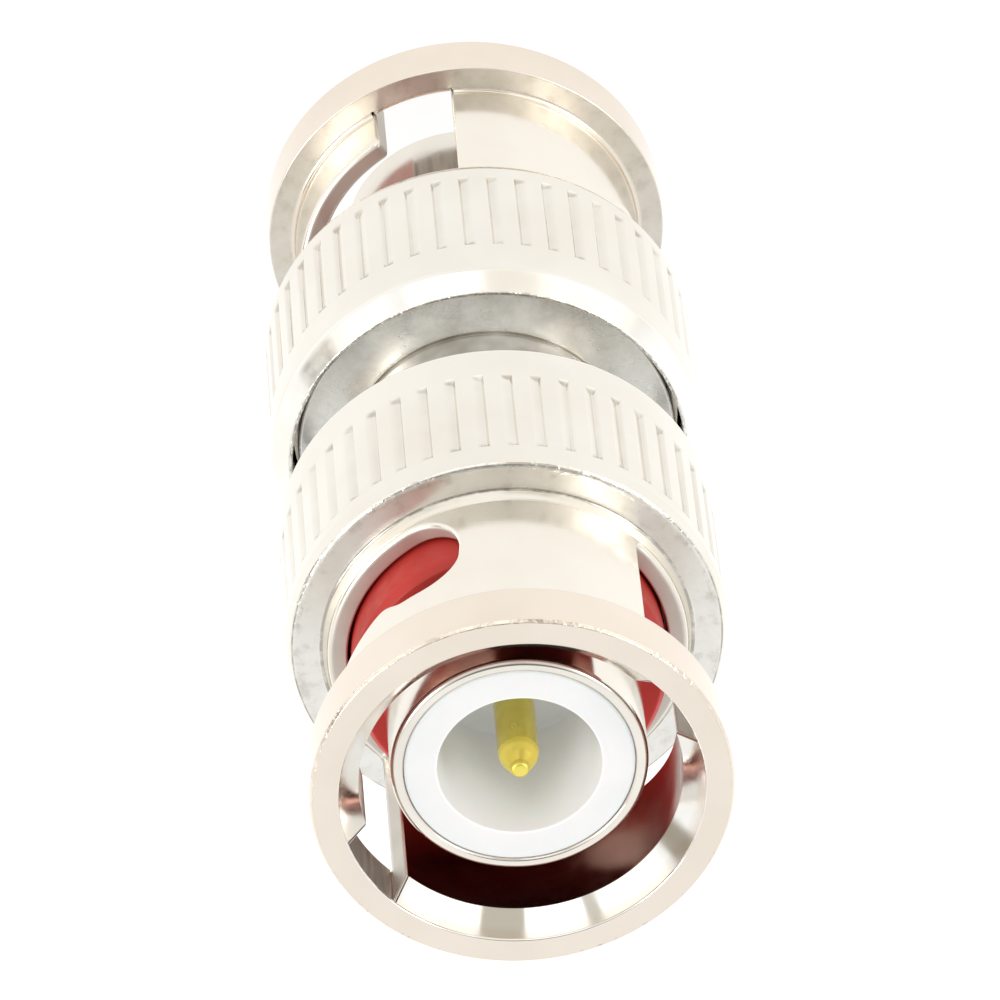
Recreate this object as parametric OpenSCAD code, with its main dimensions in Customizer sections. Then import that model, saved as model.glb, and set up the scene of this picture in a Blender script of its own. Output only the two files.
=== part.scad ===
// Double-ended bayonet radio-frequency adapter (plug to plug), 50 ohm pattern.
// Millimetres. The part stands on the mouth of its lower coupling nut: +Z is the
// adapter axis, the origin is the centre of the lower mouth plane.
// Every end is drawn once, measured from its own mouth, and mirrored by turning.

/* [Overall] */
// Total length from mouth to mouth
total_l = 33.4; // [30:0.1:38]
// Which sub-part to show

/* [Coupling nut] */
// Radius of the front flange
flange_r = 6.66; // [6.2:0.01:7]
// Thickness of the front flange
flange_t = 1.75; // [1:0.05:2.5]
// Outside radius of the neck that carries the slots
neck_r = 5.78; // [5.6:0.01:6.2]
// Radius of the mouth at its front edge
mouth_r = 5.77; // [5.5:0.01:6]
// Bore radius that takes the socket shell
bore_r = 5.10; // [4.95:0.01:5.3]
// Depth of the lead-in cone
cone_l = 0.80; // [0.5:0.05:2]
// Distance from the mouth to the rear edge of the slots
slot_rear = 7.6; // [7:0.05:8]
// Distance from the mouth to the shoulder face
shoulder_s = 8.1; // [7.8:0.05:8.6]
// Radius over the grip
grip_r = 7.06; // [6.8:0.01:7.5]
// Distance from the mouth to the front edge of the grip
grip_front = 8.5; // [8.2:0.05:9]
// Distance from the mouth to the rear edge of the grip
grip_rear = 14.3; // [13.5:0.05:15]
// Length of one coupling nut
nut_l = 15.05; // [14:0.05:16]
// Outer radius at the end of the rear bevel
bevel_r = 6.55; // [6.4:0.01:6.9]
// Radius of the rear counterbore
rear_bore_r = 6.42; // [6.1:0.01:6.6]
// Front face of the inner web
web_front = 10.75; // [10.5:0.05:11.5]
// Rear face of the inner web
web_rear = 12.75; // [12:0.05:13]
// Bore radius of the inner web
web_r = 4.60; // [4.5:0.01:4.8]

/* [Grip grooves] */
// Number of grooves
groove_n = 48; // [24:1:72]
// Start of the grooves from the mouth
groove_s0 = 8.95; // [8.6:0.05:10]
// End of the grooves from the mouth
groove_s1 = 12.95; // [11:0.05:14]
// Depth of a groove
groove_d = 0.12; // [0.05:0.01:0.3]
// Width of a groove's steep side
groove_w = 0.09; // [0.05:0.01:0.4]
// Width of a groove's shallow side
groove_w2 = 0.34; // [0.08:0.01:0.5]

/* [Bayonet slots] */
// Width of the entry channel in degrees
entry_deg = 26.5; // [22:0.5:35]
// Radius cut by the entry channel
entry_r = 5.80; // [5.6:0.01:6]
// Clock angle of the entry edge of the upper nut
clock_a = -139.7; // [-180:0.1:180]
// Clock angle of the entry edge of the lower nut
clock_b = 90.4; // [-180:0.1:180]

/* [Outer contact] */
// Outside radius of the contact sleeve
sleeve_r = 4.065; // [3.9:0.005:4.2]
// Inside radius of the contact sleeve
sleeve_ri = 3.66; // [3.4:0.01:3.8]
// Distance from the mouth to the sleeve face
sleeve_s = 1.45; // [1:0.05:2]
// Radius of the seat that the gasket sits on
seat_r = 3.90; // [3.8:0.01:3.9]
// Distance from the mouth to the front of the gasket seat
seat_s = 6.05; // [5.4:0.05:6.5]
// Radius of the contact flange
cflange_r = 4.95; // [4.6:0.01:5.05]
// Front face of the contact flange
cflange_s0 = 8.6; // [8.2:0.05:9]
// Rear face of the contact flange
cflange_s1 = 9.4; // [9:0.05:10]
// Radius of the pressed shank
shank_r = 3.9; // [3.5:0.01:4]
// Inside radius of the shank
shank_ri = 2.95; // [2.6:0.01:3.2]
// Rear end of the shank
shank_s = 12.4; // [11.5:0.05:13]

/* [Dielectric and pin] */
// Front face of the dielectric
diel_s = 1.47; // [1.2:0.05:2]
// Radius of the open bore in the dielectric
diel_bore_r = 2.60; // [2.3:0.01:2.8]
// Floor of the open bore
diel_floor = 6.7; // [6:0.05:8]
// Rear end of the wide part of the dielectric
diel_step = 8.0; // [7.5:0.05:8.5]
// Radius of the centre pin
pin_r = 0.65; // [0.6:0.005:0.7]
// Radius of the pin where the insulators grip it
pin_grip_r = 0.85; // [0.82:0.01:1.0]
// Distance from the mouth to the shoulder of the pin, behind the insulator's lip
pin_step = 6.85; // [6.85:0.01:7.4]
// Radius of the nose of the centre pin
nose_r = 0.31; // [0.2:0.01:0.4]
// Distance from the mouth to the nose tip
nose_s = 1.20; // [1:0.05:2]
// Distance from the mouth to the start of the taper
taper_s0 = 1.42; // [1.2:0.01:2.6]
// Distance from the mouth to the full pin radius
taper_s1 = 2.10; // [1.9:0.05:3.2]
// Radius of the collar in the middle of the pin
collar_r = 1.3; // [1.1:0.05:1.6]
// Half length of the collar
collar_h = 1.0; // [0.5:0.05:2]

/* [Centre body] */
// Radius of the barrel and of the spigots
barrel_r = 4.50; // [4.3:0.01:4.58]
// Radius of the two end discs
disc_r = 6.2; // [5.6:0.01:6.25]
// Front face of a disc
disc_s0 = 13.1; // [12.9:0.05:13.5]
// Rear face of a disc
disc_s1 = 14.3; // [14:0.05:14.8]
// Radius of the bore through the middle
body_bore_r = 3.3; // [3:0.01:3.6]

/* [Seal, spring and washers] */
// Outside radius of the gasket
gasket_r = 5.01; // [4.6:0.01:5.1]
// Front face of the gasket
gasket_s0 = 6.1; // [5.5:0.05:7]
// Thickness of the spring washer strip
wave_t = 0.25; // [0.15:0.01:0.4]
// Height of the bow of the spring washer
wave_h = 0.50; // [0.3:0.01:0.8]
// Front face of the thrust washer
thrust_s0 = 10.2; // [10:0.05:10.5]
// Rear face of the thrust washer
thrust_s1 = 10.7; // [10.4:0.05:11]
// Outside radius of the washers inside the bore
ring_r = 5.0; // [4.8:0.01:5.05]
// Inside radius of the washers inside the bore
ring_ri = 4.62; // [4.57:0.01:4.7]
// Thickness of the slip washer behind the web
slip_t = 0.25; // [0.15:0.01:0.3]

/* [Hidden] */
$fn = 96;
eps = 0.01;
mid = total_l / 2;
fit = 0.01;
// local angle and distance from the mouth of the front edge of a slot
cam = [[26.5, 3.42], [36, 3.52], [46, 3.62], [56, 3.74], [64, 3.90], [72, 4.10], [80, 4.28], [86, 4.44], [90, 4.50], [93, 4.36], [96, 4.16], [104, 4.16]];
pocket_a = 103.4;
pocket_s = 5.62;
pocket_r = 1.45;
end_a = 101;
end_s = 5.87;
end_r = 1.7;
wave_b = (ring_r * ring_r + wave_h * wave_h) / (2 * wave_h);

// places an end-local solid (mouth at z = 0, inside towards +z) on the upper end
module upper() translate([0, 0, total_l]) rotate([180, 0, 0]) children();
module lower() children();

// ring from radius ri to ro between z0 and z1
module ring(ri, ro, z0, z1) rotate_extrude() polygon([[ri, z0], [ro, z0], [ro, z1], [ri, z1]]);

// sector of a ring between two local angles
module sector(ri, ro, z0, z1, a0, a1) rotate([0, 0, a0]) rotate_extrude(angle = a1 - a0) polygon([[ri, z0], [ro, z0], [ro, z1], [ri, z1]]);

// straight radial cut that follows one stretch of the slot's front edge
module cam_cut(p0, p1) {
  am = (p0[0] + p1[0]) / 2;
  h = neck_r * tan((p1[0] - p0[0]) / 2);
  sl = (p1[1] - p0[1]) / (2 * h);
  o = 0.03;
  rotate([0, 0, am]) translate([bore_r - 0.55, 0, 0]) rotate([90, 0, 90])
    linear_extrude(neck_r - bore_r + 0.7) polygon([[-h - o, p0[1] - sl * o], [h + o, p1[1] + sl * o], [h + o, 5.6], [-h - o, 5.6]]);
}

module radial_cyl(a, s, r) rotate([0, 0, a]) translate([bore_r - 0.55, 0, s]) rotate([0, 90, 0]) cylinder(r = r, h = neck_r - bore_r + 0.7);

// the whole hollow that one bayonet stud travels in
module slot() {
  sector(4.6, entry_r, -0.5, 5.5, 0, entry_deg);
  sector(4.5, 6.05, 5.4, slot_rear, 0, end_a);
  for (i = [0:len(cam) - 2]) cam_cut(cam[i], cam[i + 1]);
  radial_cyl(pocket_a, pocket_s, pocket_r);
  radial_cyl(end_a, end_s, end_r);
}

module nut_solid() rotate_extrude() polygon([
  [mouth_r, 0], [flange_r - 0.12, 0], [flange_r, 0.14], [flange_r, flange_t - 0.04], [flange_r - 0.05, flange_t], [neck_r, flange_t],
  [neck_r, slot_rear + 0.05], [neck_r + 0.05, slot_rear + 0.25], [neck_r + 0.2, shoulder_s], [grip_r - 0.16, shoulder_s], [grip_r, grip_front],
  [grip_r, grip_rear], [bevel_r, nut_l], [rear_bore_r, nut_l], [rear_bore_r, web_rear], [web_r, web_rear],
  [web_r, web_front], [bore_r, web_front], [bore_r, cone_l]]);

module grooves(phase) for (i = [0:groove_n - 1])
  rotate([0, 0, phase + i * 360 / groove_n]) translate([grip_r, 0, groove_s0]) linear_extrude(groove_s1 - groove_s0)
    polygon([[-groove_d, 0], [0.1, groove_w * (1 + 0.1 / groove_d)], [0.1, -groove_w2 * (1 + 0.1 / groove_d)]]);

module nut(clock, phase) difference() {
  nut_solid();
  rotate([0, 0, clock]) slot();
  rotate([0, 0, clock + 180]) slot();
  grooves(phase);
}

module contact() rotate_extrude() polygon([
  [sleeve_ri + 0.06, sleeve_s], [sleeve_r - 0.1, sleeve_s], [sleeve_r, sleeve_s + 0.12], [sleeve_r, seat_s], [seat_r, seat_s], [seat_r, cflange_s0], [cflange_r, cflange_s0],
  [cflange_r, cflange_s1], [shank_r, cflange_s1], [shank_r, shank_s], [shank_ri, shank_s], [shank_ri, diel_step], [sleeve_ri, diel_step], [sleeve_ri, sleeve_s + 0.06]]);

module dielectric() rotate_extrude() polygon([
  [diel_bore_r + 0.05, diel_s], [sleeve_ri - fit, diel_s], [sleeve_ri - fit, diel_step - fit], [shank_ri - fit, diel_step - fit],
  [shank_ri - fit, shank_s], [pin_grip_r + fit, shank_s], [pin_grip_r + fit, pin_step - fit], [pin_r + fit, pin_step - fit], [pin_r + fit, diel_floor], [diel_bore_r, diel_floor], [diel_bore_r, diel_s + 0.05]]);

module bead() rotate_extrude() polygon([
  [pin_grip_r + fit, shank_s + fit], [body_bore_r - fit, shank_s + fit], [body_bore_r - fit, mid - fit / 2], [collar_r + fit, mid - fit / 2],
  [collar_r + fit, mid - collar_h - fit], [pin_grip_r + fit, mid - collar_h - fit]]);

module pin_half() rotate_extrude() polygon([
  [0, nose_s], [nose_r - 0.08, nose_s], [nose_r, nose_s + 0.08], [nose_r, taper_s0], [pin_r - 0.16, taper_s0 + 0.26], [pin_r - 0.04, taper_s1 - 0.16], [pin_r, taper_s1 + 0.05],
  [pin_r, pin_step], [pin_grip_r, pin_step], [pin_grip_r, mid - collar_h], [collar_r, mid - collar_h], [collar_r, mid + eps], [0, mid + eps]]);

module gasket() rotate_extrude() polygon([
  [seat_r + 0.02, gasket_s0], [gasket_r - 0.2, gasket_s0], [gasket_r - 0.06, gasket_s0 + 0.08], [gasket_r, gasket_s0 + 0.3], [gasket_r, cflange_s0 - 0.02], [seat_r + 0.02, cflange_s0 - 0.02]]);

module wave() translate([0, 0, cflange_s1 + 0.01]) intersection() {
  ring(ring_ri, ring_r, -0.2, 1.5);
  translate([0, 6, wave_b]) rotate([90, 0, 0]) linear_extrude(12) difference() {
    circle(r = wave_b, $fn = 360);
    circle(r = wave_b - wave_t, $fn = 360);
  }
  translate([-6, -6, 0]) cube([12, 12, 1.2]);
}

module thrust() ring(ring_ri, ring_r, thrust_s0, thrust_s1);

module slip() ring(ring_ri, disc_r - 0.25, disc_s0 - 0.01 - slip_t, disc_s0 - 0.01);

module body_solid() rotate_extrude() polygon([
  [shank_r + fit, cflange_s1 + 0.01], [barrel_r, cflange_s1 + 0.01], [barrel_r, disc_s0], [disc_r, disc_s0], [disc_r, disc_s1 - 0.08], [disc_r - 0.08, disc_s1],
  [barrel_r, disc_s1], [barrel_r, total_l - disc_s1], [disc_r - 0.08, total_l - disc_s1], [disc_r, total_l - disc_s1 + 0.08],
  [disc_r, total_l - disc_s0], [barrel_r, total_l - disc_s0], [barrel_r, total_l - cflange_s1 - 0.01], [shank_r + fit, total_l - cflange_s1 - 0.01],
  [shank_r + fit, total_l - shank_s], [body_bore_r, total_l - shank_s], [body_bore_r, shank_s], [shank_r + fit, shank_s]]);

/* nodes */
module centre_body() color([0.62, 0.64, 0.66]) body_solid();
module outer_contact_a() color([0.8, 0.78, 0.74]) upper() contact();
module outer_contact_b() color([0.8, 0.78, 0.74]) lower() contact();
module dielectric_a() color([0.95, 0.95, 0.95]) upper() dielectric();
module dielectric_b() color([0.95, 0.95, 0.95]) lower() dielectric();
module bead_a() color([0.9, 0.9, 0.9]) upper() bead();
module bead_b() color([0.9, 0.9, 0.9]) lower() bead();
module centre_pin() color([0.85, 0.68, 0.2]) union() { pin_half(); upper() pin_half(); }
module gasket_a() color([0.7, 0.15, 0.12]) upper() gasket();
module gasket_b() color([0.7, 0.15, 0.12]) lower() gasket();
module wave_washer_a() color([0.6, 0.6, 0.62]) upper() wave();
module wave_washer_b() color([0.6, 0.6, 0.62]) lower() wave();
module slip_washer_a() color([0.7, 0.7, 0.7]) upper() slip();
module slip_washer_b() color([0.7, 0.7, 0.7]) lower() slip();
module thrust_washer_a() color([0.7, 0.7, 0.72]) upper() thrust();
module thrust_washer_b() color([0.7, 0.7, 0.72]) lower() thrust();
module coupling_nut_a() color([0.82, 0.8, 0.75]) upper() nut(-clock_a, -90);
module coupling_nut_b() color([0.82, 0.8, 0.75]) lower() nut(clock_b, 90);

centre_body();
outer_contact_a();
outer_contact_b();
dielectric_a();
dielectric_b();
bead_a();
bead_b();
centre_pin();
gasket_a();
gasket_b();
wave_washer_a();
wave_washer_b();
slip_washer_a();
slip_washer_b();
thrust_washer_a();
thrust_washer_b();
coupling_nut_a();
coupling_nut_b();
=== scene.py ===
"""Looks of the double-ended bayonet adapter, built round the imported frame. Lengths in mm are turned into metres by MM."""
import math

import bpy
import bmesh
import numpy as np
from mathutils import Matrix, Vector
from mathutils.geometry import delaunay_2d_cdt


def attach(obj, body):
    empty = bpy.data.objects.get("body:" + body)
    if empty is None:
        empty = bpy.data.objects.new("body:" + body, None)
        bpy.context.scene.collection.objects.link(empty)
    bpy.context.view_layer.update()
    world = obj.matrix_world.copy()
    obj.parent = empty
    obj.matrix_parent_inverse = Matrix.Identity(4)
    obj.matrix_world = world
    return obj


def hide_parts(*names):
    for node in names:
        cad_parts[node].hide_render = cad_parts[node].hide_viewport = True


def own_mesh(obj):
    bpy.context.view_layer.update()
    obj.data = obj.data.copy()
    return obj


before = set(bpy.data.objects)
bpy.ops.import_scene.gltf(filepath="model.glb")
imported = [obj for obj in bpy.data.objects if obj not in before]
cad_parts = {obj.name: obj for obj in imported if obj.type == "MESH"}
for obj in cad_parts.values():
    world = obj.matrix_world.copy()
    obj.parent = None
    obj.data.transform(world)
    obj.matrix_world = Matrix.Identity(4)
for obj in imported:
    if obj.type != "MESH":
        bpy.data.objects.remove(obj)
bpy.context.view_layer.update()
MM = 0.001
TOTAL = 33.4
scene = bpy.context.scene

# ---------------------------------------------------------------- mesh helpers


class Shape:
    """Collects quads and triangles with a normal for every corner, in the frame of one end: mouth at z = 0, inside towards +z."""

    def __init__(self):
        self.q, self.qn, self.t, self.tn = [], [], [], []

    def quads(self, p, n):
        self.q.append(np.asarray(p, float).reshape(-1, 4, 3))
        self.qn.append(np.asarray(n, float).reshape(-1, 4, 3))

    def tris(self, p, n):
        self.t.append(np.asarray(p, float).reshape(-1, 3, 3))
        self.tn.append(np.asarray(n, float).reshape(-1, 3, 3))

    def strip(self, P, N, flip=False):
        """P, N: (rows, columns, 3). Makes a quad for each cell."""
        P, N = np.asarray(P, float), np.asarray(N, float)
        if flip:
            P, N = P[:, ::-1], N[:, ::-1]
        p = np.stack([P[:-1, :-1], P[:-1, 1:], P[1:, 1:], P[1:, :-1]], axis=2)
        n = np.stack([N[:-1, :-1], N[:-1, 1:], N[1:, 1:], N[1:, :-1]], axis=2)
        self.quads(p, n)

    def copy_turned(self, deg):
        """Adds a copy of all that is here, turned about Z."""
        a = math.radians(deg)
        m = np.array([[math.cos(a), -math.sin(a), 0], [math.sin(a), math.cos(a), 0], [0, 0, 1]])
        for a1, a2 in ((self.q, self.qn), (self.t, self.tn)):
            for i in range(len(a1)):
                a1.append(a1[i] @ m.T)
                a2.append(a2[i] @ m.T)

    def add(self, other):
        self.q += other.q
        self.qn += other.qn
        self.t += other.t
        self.tn += other.tn

    def make(self, name, upper=False):
        polys, norms = [], []
        allp = [x.reshape(-1, 3) for x in self.q] + [x.reshape(-1, 3) for x in self.t]
        alln = [x.reshape(-1, 3) for x in self.qn] + [x.reshape(-1, 3) for x in self.tn]
        P, N = np.vstack(allp), np.vstack(alln)
        if upper:
            P = P * [1, -1, -1] + [0, 0, TOTAL]
            N = N * [1, -1, -1]
        nq = sum(len(x) for x in self.q)
        nt = sum(len(x) for x in self.t)
        key = np.round(P / 2e-4).astype(np.int64)
        _, first, inv = np.unique(key, axis=0, return_index=True, return_inverse=True)
        inv = inv.reshape(-1)
        V = P[first]
        sizes, loops, ln = [], [], []
        Q, QN = inv[: nq * 4].reshape(-1, 4), N[: nq * 4].reshape(-1, 4, 3)
        same = Q == np.roll(Q, -1, axis=1)
        ok = ~same.any(axis=1) & (Q[:, 0] != Q[:, 2]) & (Q[:, 1] != Q[:, 3])
        tri_i, tri_n = [inv[nq * 4 :].reshape(-1, 3)], [N[nq * 4 :].reshape(-1, 3, 3)]
        for k in range(4):
            one = same[:, k] & (same.sum(axis=1) == 1)
            keep = [j for j in range(4) if j != k]
            tri_i.append(Q[one][:, keep])
            tri_n.append(QN[one][:, keep])
        T, TN = np.vstack(tri_i), np.vstack(tri_n)
        good = (T[:, 0] != T[:, 1]) & (T[:, 1] != T[:, 2]) & (T[:, 0] != T[:, 2])
        T, TN = T[good], TN[good]
        Q, QN = Q[ok], QN[ok]
        # every face is turned so that it faces the way its normals say
        gq = np.cross(V[Q[:, 2]] - V[Q[:, 0]], V[Q[:, 3]] - V[Q[:, 1]])
        bad = (gq * QN.mean(axis=1)).sum(axis=1) < 0
        Q[bad], QN[bad] = Q[bad][:, ::-1], QN[bad][:, ::-1]
        gt = np.cross(V[T[:, 1]] - V[T[:, 0]], V[T[:, 2]] - V[T[:, 0]])
        bad = (gt * TN.mean(axis=1)).sum(axis=1) < 0
        T[bad], TN[bad] = T[bad][:, ::-1], TN[bad][:, ::-1]
        me = bpy.data.meshes.new(name)
        me.vertices.add(len(V))
        me.vertices.foreach_set("co", (V * MM).astype(np.float32).ravel())
        loops = np.concatenate([Q.ravel(), T.ravel()]).astype(np.int32)
        starts = np.concatenate([np.arange(len(Q)) * 4, len(Q) * 4 + np.arange(len(T)) * 3]).astype(np.int32)
        me.loops.add(len(loops))
        me.loops.foreach_set("vertex_index", loops)
        me.polygons.add(len(starts))
        me.polygons.foreach_set("loop_start", starts)
        me.polygons.foreach_set("use_smooth", np.ones(len(starts), dtype=bool))
        me.update(calc_edges=True)
        me.validate()
        LN = np.vstack([QN.reshape(-1, 3), TN.reshape(-1, 3)])
        LN /= np.maximum(np.linalg.norm(LN, axis=1, keepdims=True), 1e-9)
        if len(me.loops) == len(LN):
            me.normals_split_custom_set([tuple(x) for x in LN])
        ob = bpy.data.objects.new(name, me)
        scene.collection.objects.link(ob)
        return ob


def rounded(points, seg=4):
    """points: (r, z, fillet radius) along an open path with the solid on the left. Gives the points and outward normals of the path
    with its corners rounded; a corner with no radius comes out as two points with their own normals."""
    pts = [np.array(p[:2], float) for p in points]
    rad = [p[2] if len(p) > 2 else 0 for p in points]
    P, N = [], []

    def normal(a, b):
        d = (b - a) / np.linalg.norm(b - a)
        return np.array([d[1], -d[0]])

    last = len(pts) - 1
    for i, p in enumerate(pts):
        if i == 0:
            P.append(p)
            N.append(normal(pts[0], pts[1]))
            continue
        if i == last:
            P.append(p)
            N.append(normal(pts[-2], pts[-1]))
            continue
        a, b = pts[i - 1], pts[i + 1]
        n0, n1 = normal(a, p), normal(p, b)
        if float(n0 @ n1) > 0.99999:
            P.append(p)
            N.append(n0)
            continue
        if rad[i] <= 0:
            P += [p, p]
            N += [n0, n1]
            continue
        u, w = (a - p) / np.linalg.norm(a - p), (b - p) / np.linalg.norm(b - p)
        half = math.acos(max(-1, min(1, float(u @ w)))) / 2
        t = min(rad[i] / math.tan(half), 0.49 * np.linalg.norm(a - p), 0.49 * np.linalg.norm(b - p))
        r = t * math.tan(half)
        c = p + (u + w) / np.linalg.norm(u + w) * r / math.sin(half)
        for k in range(seg + 1):
            f = k / seg
            ang = math.pi - 2 * half
            n = (n0 * math.sin((1 - f) * ang) + n1 * math.sin(f * ang)) / max(math.sin(ang), 1e-6)
            n = n / np.linalg.norm(n)
            sgn = 1 if float((c - p) @ n0) < 0 else -1
            P.append(c + n * r * sgn)
            N.append(n)
    return np.array(P), np.array(N)


def spin(shape, P, N, ang, a_off=0.0):
    """Turns a path (r, z) round Z through the angles in degrees."""
    th = np.radians(np.asarray(ang) + a_off)
    c, s = np.cos(th), np.sin(th)
    PP = np.stack([P[:, None, 0] * c, P[:, None, 0] * s, np.repeat(P[:, None, 1], len(th), 1)], axis=2)
    NN = np.stack([N[:, None, 0] * c, N[:, None, 0] * s, np.repeat(N[:, None, 1], len(th), 1)], axis=2)
    shape.strip(PP, NN)


def lathe(name, points, upper=False, n=240, seg=4, closed=True):
    """A turned piece. points: (r, z, fillet) in order with the solid on the left."""
    s = Shape()
    if closed:
        # start in the middle of the first side, so that every corner can be rounded
        a, b = np.array(points[0][:2], float), np.array(points[1][:2], float)
        m = tuple((a + b) / 2)
        points = [m + (0,)] + list(points[1:]) + [points[0]] + [m + (0,)]
    P, N = rounded(points, seg)
    spin(s, P, N, np.linspace(0, 360, n + 1))
    return s.make(name, upper)


# ---------------------------------------------------------------- the coupling nut

FLANGE_R, FLANGE_T, NECK_R, MOUTH_R, BORE_R, CONE_L = 6.66, 1.75, 5.78, 5.77, 5.10, 0.8
SLOT_REAR, SHOULDER, GRIP_R, GRIP_F, GRIP_B, NUT_L = 7.6, 8.1, 7.06, 8.5, 14.3, 15.05
BEVEL_R, REAR_BORE, WEB_F, WEB_B, WEB_R = 6.55, 6.42, 10.75, 12.75, 4.60
GROOVE0, GROOVE1, GROOVE_D, GROOVES = 8.95, 12.95, 0.12, 48
STEEP, SHALLOW = 0.10, 0.33  # widths of a groove's two sides
ENTRY = 26.5
CAM = [(26.5, 3.42), (36, 3.52), (46, 3.62), (56, 3.74), (64, 3.90), (72, 4.10), (80, 4.28), (86, 4.44), (90, 4.50), (93, 4.36), (96, 4.17), (103, 4.17)]
EDGE, EDGE_R = 0.10, 0.22  # rounding of the slot's edges, across and inwards
NECK_TOP = 7.74  # where the neck runs out into the cone before the shoulder
FILLET = 0.16  # between the flange and the neck


def slot_path():
    """The slot's outline, from the mouth up its entry side and back: angle at the outer wall, angle at the bore, distance from the mouth."""
    raw = []  # (centre angle, offset across in mm, s)
    for s in np.arange(-0.3, SLOT_REAR, 0.03):
        raw.append((0.0, 0.0, s))
    for a in np.arange(0, 101, 0.3):
        raw.append((a, 0.0, SLOT_REAR))
    for t in np.arange(90, -12, -1.2):
        raw.append((101.0, 1.7 * math.cos(math.radians(t)), 5.90 + 1.7 * math.sin(math.radians(t))))
    for t in np.arange(-14, -90, -1.2):
        raw.append((103.4, 1.45 * math.cos(math.radians(t)), 5.62 + 1.45 * math.sin(math.radians(t))))
    cam = CAM[::-1]
    for (a0, s0), (a1, s1) in zip(cam[:-1], cam[1:]):
        for f in np.linspace(0, 1, max(2, int(abs(a1 - a0) / 0.3)), endpoint=False):
            raw.append((a0 + (a1 - a0) * f, 0.0, s0 + (s1 - s0) * f))
    for s in np.arange(3.42, -0.3, -0.03):
        raw.append((ENTRY, 0.0, s))
    raw = np.array(raw)
    out = {}
    for key, R in (("o", NECK_R), ("i", BORE_R)):
        a = raw[:, 0] + np.degrees(np.arcsin(raw[:, 1] / R))
        out[key] = np.stack([np.radians(a) * R, raw[:, 2]], axis=1)
    mid = (out["o"] + out["i"]) / 2
    d = np.r_[0, np.cumsum(np.linalg.norm(np.diff(mid, axis=0), axis=1))]
    fine = np.arange(0, d[-1], 0.03)
    res = {k: np.stack([np.interp(fine, d, v[:, j]) for j in (0, 1)], axis=1) for k, v in out.items()}
    w = np.exp(-0.5 * (np.arange(-12, 13) / 4.0) ** 2)
    w /= w.sum()
    for k in res:
        v = np.vstack([np.repeat(res[k][:1], 12, 0), res[k], np.repeat(res[k][-1:], 12, 0)])
        res[k] = np.stack([np.convolve(v[:, j], w, mode="valid") for j in (0, 1)], axis=1)
    keep = np.unique(np.r_[np.arange(0, len(fine), 4), len(fine) - 1])
    o, i = res["o"][keep], res["i"][keep]
    return o, i


def path_normals(v):
    t = np.gradient(v, axis=0)
    t /= np.linalg.norm(t, axis=1, keepdims=True)
    # the hole lies to the right of the path, so the solid is on the left
    return np.stack([-t[:, 1], t[:, 0]], axis=1)


def inside(poly, pts):
    x, y = pts[:, 0], pts[:, 1]
    res = np.zeros(len(pts), bool)
    j = len(poly) - 1
    for i in range(len(poly)):
        xi, yi, xj, yj = poly[i, 0], poly[i, 1], poly[j, 0], poly[j, 1]
        hit = (yi > y) != (yj > y)
        with np.errstate(divide="ignore", invalid="ignore"):
            res ^= hit & (x < (xj - xi) * (y - yi) / (yj - yi + 1e-30) + xi)
        j = i
    return res


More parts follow.
